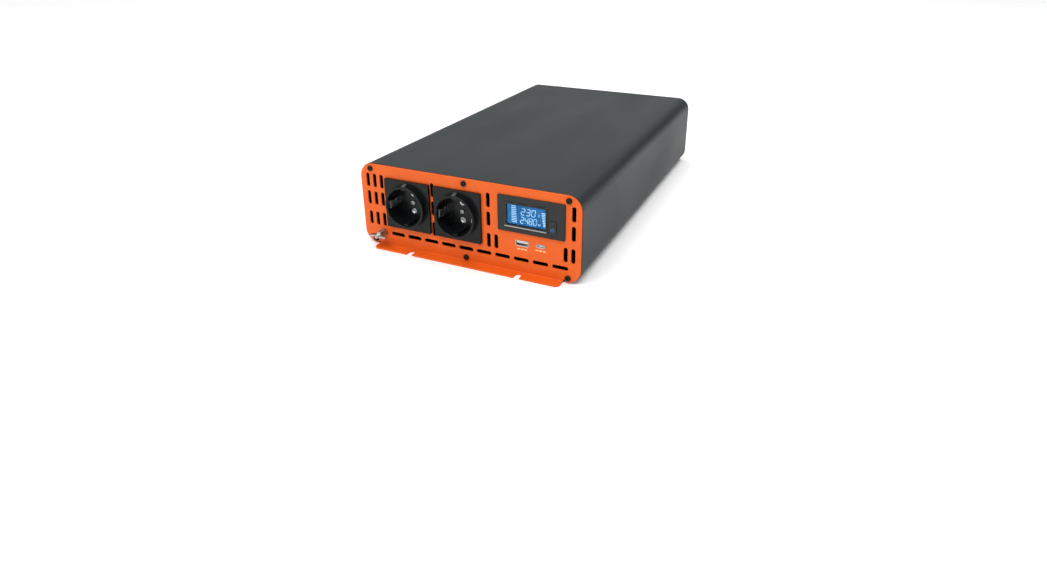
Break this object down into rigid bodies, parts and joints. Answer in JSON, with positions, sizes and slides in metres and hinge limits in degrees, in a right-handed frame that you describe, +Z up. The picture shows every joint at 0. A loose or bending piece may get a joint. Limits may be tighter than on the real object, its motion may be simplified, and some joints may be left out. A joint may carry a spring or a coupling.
{
  "type": "power inverter",
  "caption": "Flat DC-to-AC power inverter: dark extruded housing, orange end panels, mains and USB outlets, blue display, twin fans and covered battery terminals.",
  "frame": {"origin": "middle of the underside, on the plane that the housing and both flanges stand on", "axes": "+X to the right when facing the AC panel, +Y from the AC panel to the DC panel, +Z up"},
  "size_m": [0.242, 0.458, 0.088],
  "materials": {
    "housing_grey": "satin dark grey anodised extrusion",
    "panel_orange": "satin orange powder coat",
    "screw_black": "black zinc, satin",
    "socket_black": "moulded black, semi-gloss",
    "bezel_black": "moulded black, matt",
    "pane_clear": "clear polished acrylic",
    "lcd_blue": "blue backlit liquid crystal display",
    "board_green": "circuit board, green mask",
    "button_black": "moulded black, matt",
    "bright_steel": "bright nickel plate",
    "fan_black": "moulded black, matt",
    "fan_core": "laminated steel with copper wire",
    "spindle_steel": "ground steel",
    "guard_chrome": "bright chromed wire",
    "brass": "turned brass",
    "copper": "copper, satin",
    "cover_red": "moulded red, satin",
    "cover_black": "moulded black, satin",
    "insulator_black": "glass-filled nylon",
    "aluminium_raw": "bare extrusion",
    "ferrite": "sintered ferrite, matt",
    "winding_tape": "yellow insulating tape",
    "capacitor_sleeve": "shrink sleeve over an aluminium can",
    "relay_case": "moulded case",
    "fuse_case": "tinted fuse body",
    "transistor_case": "epoxy package",
    "wire_insulation": "insulated wire"
  },
  "bodies": {
    "root": {"ac_wires": "wire_insulation", "bus_capacitors": "capacitor_sleeve", "choke_core": "ferrite", "choke_winding": "copper", "control_board": "board_green", "dc_clamp_screws": "bright_steel", "dc_negative_terminal": "brass", "dc_positive_terminal": "brass", "dc_terminal_base": "insulator_black", "display_bezel": "bezel_black", "display_board": "board_green", "display_window": "pane_clear", "fan_left_frame": "fan_black", "fan_left_guard": "guard_chrome", "fan_left_stator": "fan_core", "fan_right_frame": "fan_black", "fan_right_guard": "guard_chrome", "fan_right_stator": "fan_core", "fan_screws": "screw_black", "fan_wires": "wire_insulation", "front_panel": "panel_orange", "front_panel_screws": "screw_black", "ground_lock_nut": "bright_steel", "ground_stud": "bright_steel", "ground_washers": "bright_steel", "heat_sinks": "aluminium_raw", "housing_shell": "housing_grey", "input_capacitors": "capacitor_sleeve", "input_fuses": "fuse_case", "lcd_module": "lcd_blue", "main_board": "board_green", "negative_busbar": "copper", "output_relays": "relay_case", "positive_busbar": "copper", "power_switch": "insulator_black", "power_transistors": "transistor_case", "rear_panel": "panel_orange", "rear_panel_screws": "screw_black", "socket_left_back_cover": "socket_black", "socket_left_body": "socket_black", "socket_left_earth_clips": "bright_steel", "socket_left_pin_contacts": "bright_steel", "socket_right_back_cover": "socket_black", "socket_right_body": "socket_black", "socket_right_earth_clips": "bright_steel", "socket_right_pin_contacts": "bright_steel", "socket_screws": "bright_steel", "transformer_cores": "ferrite", "transformer_windings": "winding_tape", "usb_a_port": "bright_steel", "usb_board": "board_green", "usb_c_port": "bright_steel"},
    "fan_left_rotor": {"fan_left_impeller": "fan_black", "fan_left_shaft": "spindle_steel"},
    "fan_right_rotor": {"fan_right_impeller": "fan_black", "fan_right_shaft": "spindle_steel"},
    "power_button": {"power_button": "button_black"},
    "ground_wing_nut": {"ground_wing_nut": "bright_steel"},
    "dc_positive_cover": {"dc_positive_cover": "cover_red"},
    "dc_negative_cover": {"dc_negative_cover": "cover_black"}
  },
  "joints": [
    {"name": "fan_left_spin", "type": "hinge", "parent": "root", "child": "fan_left_rotor", "pos_m": [0.061, 0.19, 0.044], "axis": [0, 1, 0], "continuous": true},
    {"name": "fan_right_spin", "type": "hinge", "parent": "root", "child": "fan_right_rotor", "pos_m": [-0.061, 0.19, 0.044], "axis": [0, 1, 0], "continuous": true},
    {"name": "power_button_press", "type": "slide", "parent": "root", "child": "power_button", "axis": [0, 1, 0], "range_m": [0, 0.001], "stiffness_N_per_m": 600},
    {"name": "ground_wing_nut_turn", "type": "hinge", "parent": "root", "child": "ground_wing_nut", "pos_m": [-0.097, -0.215, 0.0145], "axis": [0, -1, 0], "range_deg": [0, 360]},
    {"name": "dc_positive_cover_pull", "type": "slide", "parent": "root", "child": "dc_positive_cover", "axis": [0, 1, 0], "range_m": [0, 0.035]},
    {"name": "dc_negative_cover_pull", "type": "slide", "parent": "root", "child": "dc_negative_cover", "axis": [0, 1, 0], "range_m": [0, 0.035]}
  ]
}
